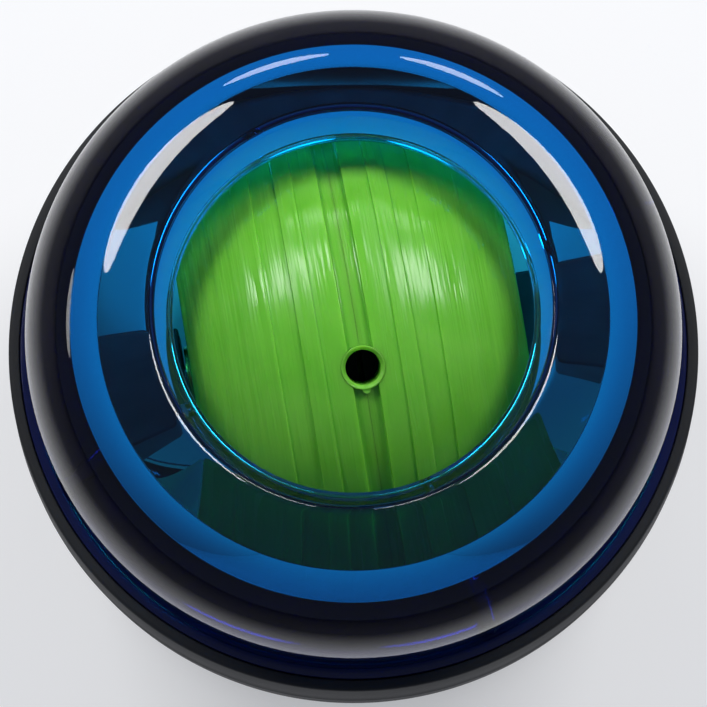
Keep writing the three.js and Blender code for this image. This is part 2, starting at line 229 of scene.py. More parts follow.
def piece_from(name, work):
    """Makes finished mesh work a piece, with smooth faces, crisp corners and faces that point out."""
    bmesh.ops.recalc_face_normals(work, faces=work.faces)
    for face in work.faces:
        face.smooth = True
    mesh = bpy.data.meshes.new(name)
    work.to_mesh(mesh)
    work.free()
    mesh.set_sharp_from_angle(angle=math.radians(SHARP_CORNER_DEG))
    piece = bpy.data.objects.new(name, mesh)
    bpy.context.scene.collection.objects.link(piece)
    return piece


def turned(name, outline, facets):
    """A closed outline of (radius, height) turned round the upright axis."""
    work = bmesh.new()
    rows = []
    for radius, height in outline:
        if radius < ON_AXIS_RADIUS:
            rows.append([work.verts.new((0, 0, height * MM))] * facets)
            continue
        row = []
        for k in range(facets):
            angle = 2 * math.pi * k / facets
            x = radius * math.cos(angle) * MM
            y = radius * math.sin(angle) * MM
            row.append(work.verts.new((x, y, height * MM)))
        rows.append(row)
    for here, there in zip(rows, rows[1:] + rows[:1]):
        for k in range(facets):
            k_next = (k + 1) % facets
            corners = list(dict.fromkeys((here[k], here[k_next], there[k_next], there[k])))
            if len(corners) > 2:
                work.faces.new(corners)
    return piece_from(name, work)


def rod(name, radius, bottom, top, facets=HOLE_FACETS):
    return turned(name, [(0, bottom), (radius, bottom), (radius, top), (0, top)], facets)


def block(name, low, high, rounding):
    """A block between two corners with all its edges rounded."""
    work = bmesh.new()
    bmesh.ops.create_cube(work, size=1)
    size = Vector(high) - Vector(low)
    middle = (Vector(high) + Vector(low)) / 2
    for vert in work.verts:
        vert.co = Vector([(middle[i] + vert.co[i] * size[i]) * MM for i in range(3)])
    bmesh.ops.bevel(work, geom=work.edges, offset=rounding * MM, segments=4, profile=0.5, affect="EDGES")
    return piece_from(name, work)


def combine(piece, tool, operation):
    """Cuts or joins a piece with a tool, which is used up."""
    step = piece.modifiers.new("combine", "BOOLEAN")
    step.operation = operation
    step.solver = "EXACT"
    step.object = tool
    evaluated = piece.evaluated_get(bpy.context.evaluated_depsgraph_get())
    result = bpy.data.meshes.new_from_object(evaluated)
    piece.modifiers.remove(step)
    used = [piece.data, tool.data]
    piece.data = result
    bpy.data.objects.remove(tool)
    for mesh in used:
        bpy.data.meshes.remove(mesh)
    result.set_sharp_from_angle(angle=math.radians(SHARP_CORNER_DEG))
    return piece


def placed(piece, matrix):
    piece.data.transform(matrix)
    return piece


def cut_hole(piece, place, radius, bottom, top):
    """Cuts an upright round hole at a place, which is in metres."""
    x, y = place
    hole = rod("hole", radius, bottom, top)
    combine(piece, placed(hole, Matrix.Translation((x, y, 0))), "DIFFERENCE")


def dressed(piece, material):
    piece.data.materials.clear()
    piece.data.materials.append(material)
    return piece


def stands_for(piece, body, slot, *nodes):
    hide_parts(*nodes)
    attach(piece, body)
    return piece


case_place = Matrix.Translation((0, 0, STAND_HEIGHT * MM))
ring_place = case_place @ Matrix.Rotation(math.radians(RING_YAW_DEG), 4, "Z")
rotor_place = ring_place @ Matrix.Rotation(math.radians(ROTOR_ROLL_DEG), 4, "X")
along_axle = Matrix.Rotation(math.radians(90), 4, "Y")


# Materials

def linear(colour):
    """An sRGB hex colour as linear red, green, blue and alpha."""
    channels = [int(colour[i:i + 2], 16) / 255 for i in (1, 3, 5)]
    return tuple(c / 12.92 if c <= 0.04045 else ((c + 0.055) / 1.055) ** 2.4 for c in channels) + (1,)


def per_metre(size_mm):
    """Pattern scale, in repeats per metre, of a feature of a real size in millimetres."""
    return 1 / (size_mm * MM)


def add_node(tree, kind, settings=None, inputs=None):
    """Adds a node with its settings and its inputs, which are values or the sockets that feed them."""
    made = tree.nodes.new(kind)
    for name, value in (settings or {}).items():
        setattr(made, name, value)
    for name, value in (inputs or {}).items():
        if isinstance(value, bpy.types.NodeSocket):
            tree.links.new(value, made.inputs[name])
        else:
            made.inputs[name].default_value = value
    return made


def blank(name):
    material = bpy.data.materials.new(name)
    material.use_nodes = True
    material.node_tree.nodes.clear()
    return material, material.node_tree


def rotor_coordinates(tree):
    """Coordinates that start at the rotor's middle, with X along the axle, in metres."""
    coordinates = add_node(tree, "ShaderNodeTexCoord")
    return add_node(tree, "ShaderNodeMapping", {"vector_type": "TEXTURE"}, {
        "Vector": coordinates.outputs["Object"],
        "Location": (0, 0, STAND_HEIGHT * MM),
        "Rotation": (math.radians(ROTOR_ROLL_DEG), 0, math.radians(RING_YAW_DEG)),
    })


def tinted_polycarbonate(name, density):
    """Injection-moulded clear blue polycarbonate: wet-looking gloss, colour that deepens with thickness,
    a faint moulding ripple and the hairline scratches of a thing that is handled. The scratches are drawn
    wider than real ones, which are too fine to show."""
    material, tree = blank(name)
    coordinates = add_node(tree, "ShaderNodeTexCoord")
    ripple = add_node(tree, "ShaderNodeTexNoise", None, {
        "Vector": coordinates.outputs["Object"],
        "Scale": per_metre(7),
        "Detail": 1.0,
    })
    ripple_bump = add_node(tree, "ShaderNodeBump", None, {
        "Height": ripple.outputs["Fac"],
        "Strength": 0.12,
        "Distance": 0.03 * MM,
    })
    scratch_stretch = add_node(tree, "ShaderNodeMapping", None, {
        "Vector": coordinates.outputs["Object"],
        "Rotation": (0.4, 0.7, 0.3),
        "Scale": (1, 14, 6),
    })
    scratches = add_node(tree, "ShaderNodeTexNoise", None, {
        "Vector": scratch_stretch.outputs["Vector"],
        "Scale": per_metre(9),
        "Detail": 3.0,
        "Roughness": 0.6,
    })
    gloss = add_node(tree, "ShaderNodeMapRange", None, {
        "Value": scratches.outputs["Fac"],
        "From Min": 0.62,
        "From Max": 0.8,
        "To Min": 0.0,
        "To Max": 0.08,
    })
    surface = add_node(tree, "ShaderNodeBsdfPrincipled", None, {
        "Base Color": linear("#ffffff"),
        "IOR": 1.52,
        "Transmission Weight": 1.0,
        "Roughness": gloss.outputs["Result"],
        "Normal": ripple_bump.outputs["Normal"],
    })
    depth = add_node(tree, "ShaderNodeVolumeAbsorption", None, {
        "Color": TINT,
        "Density": density,
    })
    add_node(tree, "ShaderNodeOutputMaterial", None, {
        "Surface": surface.outputs["BSDF"],
        "Volume": depth.outputs["Volume"],
    })
    return material


def moulded_rubber():
    """Compression-moulded black rubber: matt, slightly grey, with a fine sparked grain from the mould. The
    grain is drawn coarser than the real one, which is too fine to show."""
    material, tree = blank("moulded_rubber")
    coordinates = add_node(tree, "ShaderNodeTexCoord")
    grain = add_node(tree, "ShaderNodeTexVoronoi", {"feature": "SMOOTH_F1"}, {
        "Vector": coordinates.outputs["Object"],
        "Scale": per_metre(0.45),
    })
    handling = add_node(tree, "ShaderNodeTexNoise", None, {
        "Vector": coordinates.outputs["Object"],
        "Scale": per_metre(11),
        "Detail": 4.0,
    })
    colour = add_node(tree, "ShaderNodeValToRGB", None, {"Fac": handling.outputs["Fac"]})
    colour.color_ramp.elements[0].position = 0.35
    colour.color_ramp.elements[0].color = linear("#191a1b")
    colour.color_ramp.elements[1].position = 0.75
    colour.color_ramp.elements[1].color = linear("#222324")
    roughness = add_node(tree, "ShaderNodeMapRange", None, {
        "Value": handling.outputs["Fac"],
        "To Min": 0.62,
        "To Max": 0.82,
    })
    bump = add_node(tree, "ShaderNodeBump", None, {
        "Height": grain.outputs["Distance"],
        "Strength": 0.5,
        "Distance": 0.05 * MM,
    })
    surface = add_node(tree, "ShaderNodeBsdfPrincipled", None, {
        "Base Color": colour.outputs["Color"],
        "Roughness": roughness.outputs["Result"],
        "Normal": bump.outputs["Normal"],
        "IOR": 1.5,
        "Sheen Weight": 0.06,
    })
    add_node(tree, "ShaderNodeOutputMaterial", None, {"Surface": surface.outputs["BSDF"]})
    return material


def gloss_black_abs():
    """Polished-mould black ABS with a blue cast: a clean gloss with a little orange peel."""
    material, tree = blank("gloss_black_abs")
    coordinates = add_node(tree, "ShaderNodeTexCoord")
    peel = add_node(tree, "ShaderNodeTexNoise", None, {
        "Vector": coordinates.outputs["Object"],
        "Scale": per_metre(1.6),
        "Detail": 2.0,
    })
    bump = add_node(tree, "ShaderNodeBump", None, {
        "Height": peel.outputs["Fac"],
        "Strength": 0.15,
        "Distance": 0.02 * MM,
    })
    wear = add_node(tree, "ShaderNodeTexNoise", None, {
        "Vector": coordinates.outputs["Object"],
        "Scale": per_metre(5),
        "Detail": 6.0,
        "Roughness": 0.65,
    })
    roughness = add_node(tree, "ShaderNodeMapRange", None, {
        "Value": wear.outputs["Fac"],
        "From Min": 0.4,
        "From Max": 0.75,
        "To Min": 0.1,
        "To Max": 0.22,
    })
    surface = add_node(tree, "ShaderNodeBsdfPrincipled", None, {
        "Base Color": linear("#0b1344"),
        "Roughness": roughness.outputs["Result"],
        "Normal": bump.outputs["Normal"],
        "IOR": 1.54,
    })
    add_node(tree, "ShaderNodeOutputMaterial", None, {"Surface": surface.outputs["BSDF"]})
    return material


def lime_abs(name, streak_depth):
    """Lime green ABS, moulded and skimmed on a lathe: satin gloss that breaks into short streaks along the
    turning lines, and a slight drift of colour from the melt's flow."""
    material, tree = blank(name)
    local = rotor_coordinates(tree)
    streak_stretch = (1, 0.045, 0.045)
    drawn_out = add_node(tree, "ShaderNodeVectorMath", {"operation": "MULTIPLY"}, {
        0: local.outputs["Vector"],
        1: streak_stretch,
    })
    turning = add_node(tree, "ShaderNodeTexNoise", None, {
        "Vector": drawn_out.outputs["Vector"],
        "Scale": per_metre(1.4),
        "Detail": 3.0,
        "Roughness": 0.6,
    })
    flow = add_node(tree, "ShaderNodeTexNoise", None, {
        "Vector": local.outputs["Vector"],
        "Scale": per_metre(8),
        "Detail": 2.0,
        "Distortion": 0.6,
    })
    colour = add_node(tree, "ShaderNodeValToRGB", None, {"Fac": flow.outputs["Fac"]})
    colour.color_ramp.elements[0].position = 0.3
    colour.color_ramp.elements[0].color = linear("#6cc236")
    colour.color_ramp.elements[1].position = 0.75
    colour.color_ramp.elements[1].color = linear("#7ccd46")
    roughness = add_node(tree, "ShaderNodeMapRange", None, {
        "Value": turning.outputs["Fac"],
        "From Min": 0.3,
        "From Max": 0.7,
        "To Min": 0.12,
        "To Max": 0.33,
    })
    bump = add_node(tree, "ShaderNodeBump", None, {
        "Height": turning.outputs["Fac"],
        "Strength": 1.0,
        "Distance": streak_depth * MM,
    })
    surface = add_node(tree, "ShaderNodeBsdfPrincipled", None, {
        "Base Color": colour.outputs["Color"],
        "Roughness": roughness.outputs["Result"],
        "Normal": bump.outputs["Normal"],
        "IOR": 1.54,
        "Specular IOR Level": 0.35,
        "Subsurface Weight": 0.6,
        "Subsurface Radius": (1.0, 1.0, 0.4),
        "Subsurface Scale": 2.5 * MM,
    })
    add_node(tree, "ShaderNodeOutputMaterial", None, {"Surface": surface.outputs["BSDF"]})
    return material


def grey_nylon():
    """Moulded grey nylon: soft waxy sheen, faintly mottled, with a trace of wear dust."""
    material, tree = blank("grey_nylon")
    coordinates = add_node(tree, "ShaderNodeTexCoord")
    mottle = add_node(tree, "ShaderNodeTexNoise", None, {
        "Vector": coordinates.outputs["Object"],
        "Scale": per_metre(2.5),
        "Detail": 5.0,
    })
    colour = add_node(tree, "ShaderNodeValToRGB", None, {"Fac": mottle.outputs["Fac"]})
    colour.color_ramp.elements[0].position = 0.3
    colour.color_ramp.elements[0].color = linear("#34393c")
    colour.color_ramp.elements[1].position = 0.7
    colour.color_ramp.elements[1].color = linear("#43484b")
    bump = add_node(tree, "ShaderNodeBump", None, {
        "Height": mottle.outputs["Fac"],
        "Strength": 0.3,
        "Distance": 0.02 * MM,
    })
    surface = add_node(tree, "ShaderNodeBsdfPrincipled", None, {
        "Base Color": colour.outputs["Color"],
        "Roughness": 0.42,
        "Normal": bump.outputs["Normal"],
        "IOR": 1.53,
    })
    add_node(tree, "ShaderNodeOutputMaterial", None, {"Surface": surface.outputs["BSDF"]})
    return material


def machined_metal(name, dark, light, line_mm, smooth, rough):
    """Metal turned or ground round the axle: bright, with fine rings that blur its highlights. The rings
    are drawn wider than the tool's marks, which are too fine to show."""
    material, tree = blank(name)
    local = rotor_coordinates(tree)
    across = add_node(tree, "ShaderNodeSeparateXYZ", None, {"Vector": local.outputs["Vector"]})
    rings = add_node(tree, "ShaderNodeTexNoise", {"noise_dimensions": "1D"}, {
        "W": across.outputs["X"],
        "Scale": per_metre(line_mm),
        "Detail": 4.0,
        "Roughness": 0.7,
    })
    colour = add_node(tree, "ShaderNodeValToRGB", None, {"Fac": rings.outputs["Fac"]})
    colour.color_ramp.elements[0].position = 0.25
    colour.color_ramp.elements[0].color = linear(dark)
    colour.color_ramp.elements[1].position = 0.7
    colour.color_ramp.elements[1].color = linear(light)
    roughness = add_node(tree, "ShaderNodeMapRange", None, {
        "Value": rings.outputs["Fac"],
        "From Min": 0.3,
        "From Max": 0.7,
        "To Min": smooth,
        "To Max": rough,
    })
    bump = add_node(tree, "ShaderNodeBump", None, {
        "Height": rings.outputs["Fac"],
        "Strength": 0.3,
        "Distance": 0.01 * MM,
    })
    surface = add_node(tree, "ShaderNodeBsdfPrincipled", None, {
        "Base Color": colour.outputs["Color"],
        "Metallic": 1.0,
        "Roughness": roughness.outputs["Result"],
        "Normal": bump.outputs["Normal"],
    })
    add_node(tree, "ShaderNodeOutputMaterial", None, {"Surface": surface.outputs["BSDF"]})
    return material


def grainy_metal(name, dark, light, grain_mm, depth_mm, smooth, rough):
    """Metal as it comes from a die or a plating bath: an even grain with patches that shine more. The
    grain is drawn coarser than a plating's own, which is too fine to show."""
    material, tree = blank(name)
    coordinates = add_node(tree, "ShaderNodeTexCoord")
    grain = add_node(tree, "ShaderNodeTexNoise", None, {
        "Vector": coordinates.outputs["Object"],
        "Scale": per_metre(grain_mm),
        "Detail": 5.0,
        "Roughness": 0.6,
    })
    colour = add_node(tree, "ShaderNodeValToRGB", None, {"Fac": grain.outputs["Fac"]})
    colour.color_ramp.elements[0].position = 0.3
    colour.color_ramp.elements[0].color = linear(dark)
    colour.color_ramp.elements[1].position = 0.7
    colour.color_ramp.elements[1].color = linear(light)
    roughness = add_node(tree, "ShaderNodeMapRange", None, {
        "Value": grain.outputs["Fac"],
        "From Min": 0.3,
        "From Max": 0.7,
        "To Min": smooth,
        "To Max": rough,
    })
    bump = add_node(tree, "ShaderNodeBump", None, {
        "Height": grain.outputs["Fac"],
        "Strength": 0.4,
        "Distance": depth_mm * MM,
    })
    surface = add_node(tree, "ShaderNodeBsdfPrincipled", None, {
        "Base Color": colour.outputs["Color"],
        "Metallic": 1.0,
        "Roughness": roughness.outputs["Result"],
        "Normal": bump.outputs["Normal"],
    })
    add_node(tree, "ShaderNodeOutputMaterial", None, {"Surface": surface.outputs["BSDF"]})
    return material


clear_blue = tinted_polycarbonate("clear_blue_polycarbonate", DOME_DENSITY)
lower_blue = tinted_polycarbonate("deep_blue_polycarbonate", BOWL_DENSITY)
rubber = moulded_rubber()
black_abs = gloss_black_abs()
rotor_lime = lime_abs("lime_abs_turned", streak_depth=0.25)
eyelet_lime = lime_abs("lime_abs_moulded", streak_depth=0.01)
nylon = grey_nylon()
ground_steel = machined_metal("ground_steel", "#9ea1a5", "#c3c6c9", line_mm=0.18, smooth=0.16, rough=0.3)
turned_brass = machined_metal("turned_brass", "#a27c33", "#cda655", line_mm=0.25, smooth=0.2, rough=0.36)
plated_screw_steel = grainy_metal(
    "zinc_plated_steel", "#9a9da2", "#c2c4c6",
    grain_mm=0.8, depth_mm=0.005, smooth=0.2, rough=0.34,
)
cast_iron = grainy_metal(
    "blackened_cast_iron", "#1d1f21", "#2b2d30",
    grain_mm=1.2, depth_mm=0.03, smooth=0.45, rough=0.65,
)


# Case

def upper_shell():
    """Thick clear dome with a lip that falls in a funnel to the mouth, and a short collar under it."""
    crest_radius = MOUTH_RADIUS + LIP_WIDTH
    shoulder = DOME_HEIGHT - DOME_BULGE_RISE
    bulge_width = DOME_WIDEST_RADIUS - crest_radius
    collar_back = COLLAR_FRONT + COLLAR_WALL
    ceiling = COLLAR_FOOT + COLLAR_STAND
    lip_centre = DOME_HEIGHT - LIP_ROUND
    outline = rounded([
        (DOME_WALL_INNER, DOME_FOOT, MOULDED_ROUND),
        (DOME_FOOT_RADIUS, DOME_FOOT, MOULDED_ROUND),
        *arc(crest_radius, shoulder, bulge_width, DOME_BULGE_RISE, 0, 90, steps=56),
        *arc(crest_radius, lip_centre, LIP_ROUND, LIP_ROUND, LIP_START_DEG, LIP_END_DEG, steps=10),
        (MOUTH_RADIUS, DOME_HEIGHT - LIP_DROP, MOUTH_EDGE_ROUND),
        (COLLAR_FRONT, COLLAR_FOOT, COLLAR_EDGE_ROUND),
        (collar_back, COLLAR_FOOT, MOULDED_ROUND),
        (collar_back, ceiling, CEILING_FILLET),
        (DOME_WALL_INNER - CORNER_CHAMFER_WIDTH, ceiling, MOULDED_ROUND),
        (DOME_WALL_INNER, ceiling - CORNER_CHAMFER_HEIGHT, MOULDED_ROUND),
    ])
    shell = turned("upper_shell_moulding", outline, CASE_FACETS)
    for place in screw_places():
        cut_hole(shell, place, SCREW_HOLE_RADIUS, DOME_FOOT - OVERRUN, SCREW_HOLE_TOP)
    return dressed(placed(shell, case_place), clear_blue)


def screw_places():
    """Places of the case screws round the case, in metres."""
    places = []
    for i in range(SCREW_COUNT):
        angle = math.radians(FIRST_SCREW_DEG + 360 * i / SCREW_COUNT)
        x = SCREW_CIRCLE_RADIUS * math.cos(angle) * MM
        y = SCREW_CIRCLE_RADIUS * math.sin(angle) * MM
        places.append((x, y))
    return places


def race_ring(name, corners):
    ring = turned(name, rounded(corners), CASE_FACETS)
    hole_top = RACE_TOP + RACE_RIM_HEIGHT + OVERRUN
    for place in screw_places():
        cut_hole(ring, place, SCREW_HOLE_RADIUS, -RACE_TOP - OVERRUN, hole_top)
    return dressed(placed(ring, case_place), black_abs)


def upper_race_ring():
    """Upper side of the track, with the glossy rim that shows between dome and grip."""
    rim_inner = RACE_RADIUS - RACE_RIM_WIDTH
    rim_top = RACE_TOP + RACE_RIM_HEIGHT
    return race_ring("upper_race_moulding", [
        (RACE_INNER, TRACK_TOP, MOULDED_ROUND),
        (RACE_RADIUS, TRACK_TOP, MOULDED_ROUND),
        (RACE_RADIUS, rim_top, RACE_RIM_ROUND),
        (rim_inner, rim_top, MOULDED_ROUND),
        (rim_inner, RACE_TOP, MOULDED_ROUND),
        (RACE_INNER, RACE_TOP, MOULDED_ROUND),
    ])


def lower_race_ring():
    """Lower side of the track and the wall that closes it."""
    wall_top = TRACK_TOP - SEAT_GAP
    return race_ring("lower_race_moulding", [
        (RACE_INNER, -RACE_TOP, MOULDED_ROUND),
        (RACE_RADIUS, -RACE_TOP, MOULDED_ROUND),
        (RACE_RADIUS, wall_top, MOULDED_ROUND),
        (TRACK_OUTER, wall_top, MOULDED_ROUND),
        (TRACK_OUTER, -TRACK_TOP, MOULDED_ROUND),
        (RACE_INNER, -TRACK_TOP, MOULDED_ROUND),
    ])


def bowl_arc(thickness, from_deg, to_deg, steps):
    """Outline of the lower bowl, stepped out by some thickness."""
    width = RACE_RADIUS - BOWL_CORNER_RADIUS + thickness
    rise = BOWL_CENTRE_HEIGHT - BASE_HEIGHT + thickness
    return arc(BOWL_CORNER_RADIUS, BOWL_CENTRE_HEIGHT, width, rise, from_deg, to_deg, steps)


def bowl_angle(thickness, height):
    """Angle at which that outline comes down to a height, in degrees below its widest level."""
    rise = BOWL_CENTRE_HEIGHT - BASE_HEIGHT + thickness
    return math.degrees(math.asin((BOWL_CENTRE_HEIGHT - height) / rise))


def lower_shell():
    """Deep blue bowl with an inward flange, four screw wells and a recess for the foot pad."""
    recess_radius = PAD_RADIUS + PRESS_GAP
    recess_top = -STAND_HEIGHT + PAD_THICKNESS + SEAT_GAP
    covered_end = bowl_angle(0, GRIP_BOTTOM)
    bare_start = bowl_angle(GRIP_THICKNESS, GRIP_BOTTOM)
    base_end = bowl_angle(GRIP_THICKNESS, BASE_HEIGHT)
    outline = rounded([
        (0, BOWL_TOP),
        (RACE_RADIUS, BOWL_TOP, MOULDED_ROUND),
        *bowl_arc(0, 0, -covered_end, steps=30),
        *bowl_arc(GRIP_THICKNESS, -bare_start, -base_end, steps=30),
        (recess_radius, BASE_HEIGHT, MOULDED_ROUND),
        (recess_radius, recess_top, MOULDED_ROUND),
        (0, recess_top),
    ])
    hollow = [
        (0, BOWL_TOP + OVERRUN),
        (FLANGE_RADIUS, BOWL_TOP + OVERRUN),
        (FLANGE_RADIUS, BOWL_TOP - FLANGE_THICKNESS),
        (FLANGE_RADIUS + FLANGE_SLOPE, BOWL_TOP - FLANGE_THICKNESS - FLANGE_SLOPE),
        *bowl_arc(-BOWL_WALL, HOLLOW_START_DEG, -90, steps=40),
    ]
    hollow_tool = turned("hollow", hollow, CASE_FACETS)
    # The holes in this tool leave posts in the bowl for the wells
    for place in screw_places():
        cut_hole(hollow_tool, place, WELL_RADIUS + WELL_WALL, -STAND_HEIGHT, BOWL_TOP + 2 * OVERRUN)
    shell = combine(turned("lower_shell_moulding", outline, CASE_FACETS), hollow_tool, "DIFFERENCE")
    for place in screw_places():
        cut_hole(shell, place, WELL_RADIUS, -STAND_HEIGHT, SCREW_SEAT)
        cut_hole(shell, place, SCREW_HOLE_RADIUS, SCREW_SEAT - OVERRUN, BOWL_TOP + OVERRUN)
    return dressed(placed(shell, case_place), lower_blue)


def grip_sleeve():
    """Rubber sleeve round the widest part, with the mould's parting line on its crown."""
    inner = RACE_RADIUS + SEAT_GAP
    widest = RACE_RADIUS + GRIP_THICKNESS - PARTING_RIDGE
    ridge_height = BOWL_CENTRE_HEIGHT / 2
    half_ridge = PARTING_RIDGE_WIDTH / 2
    bottom = GRIP_BOTTOM + PRESS_GAP
    inner_end = bowl_angle(SEAT_GAP, bottom)
    outer_end = bowl_angle(GRIP_THICKNESS, bottom + GRIP_EDGE_ROUND)
    outer_arc = bowl_arc(GRIP_THICKNESS - PARTING_RIDGE, 0, -outer_end, steps=30)
    outline = rounded([
        (inner, GRIP_TOP, MOULDED_ROUND),
        (widest - GRIP_CROWN, GRIP_TOP, GRIP_EDGE_ROUND),
        (widest, 0),
        (widest, ridge_height + half_ridge),
        (widest + PARTING_RIDGE, ridge_height),
        (widest, ridge_height - half_ridge),
        *outer_arc[:-1],
        (outer_arc[-1][0], outer_arc[-1][1], GRIP_EDGE_ROUND),
        *bowl_arc(SEAT_GAP, -inner_end, 0, steps=24),
    ])
    return dressed(placed(turned("grip_sleeve_rubber", outline, CASE_FACETS), case_place), rubber)


def foot_pad():
    """Rubber disc under the base with three shallow grip grooves."""
    bottom = -STAND_HEIGHT
    top = bottom + PAD_THICKNESS
    groove_top = bottom + PAD_GROOVE_DEPTH
    corners = [(0, top), (0, bottom)]
    for radius in PAD_GROOVE_RADII:
        near = radius - PAD_GROOVE_WIDTH / 2
        far = radius + PAD_GROOVE_WIDTH / 2
        corners += [
            (near, bottom, MOULDED_ROUND),
            (near, groove_top, MOULDED_ROUND),
            (far, groove_top, MOULDED_ROUND),
            (far, bottom, MOULDED_ROUND),
        ]
    corners += [(PAD_RADIUS, bottom, PAD_EDGE_ROUND), (PAD_RADIUS, top, MOULDED_ROUND)]
    return dressed(placed(turned("foot_pad_rubber", rounded(corners), CASE_FACETS), case_place), rubber)


# Case screws, made by one tree: core, point, thread, head and cross recess, copied round the case

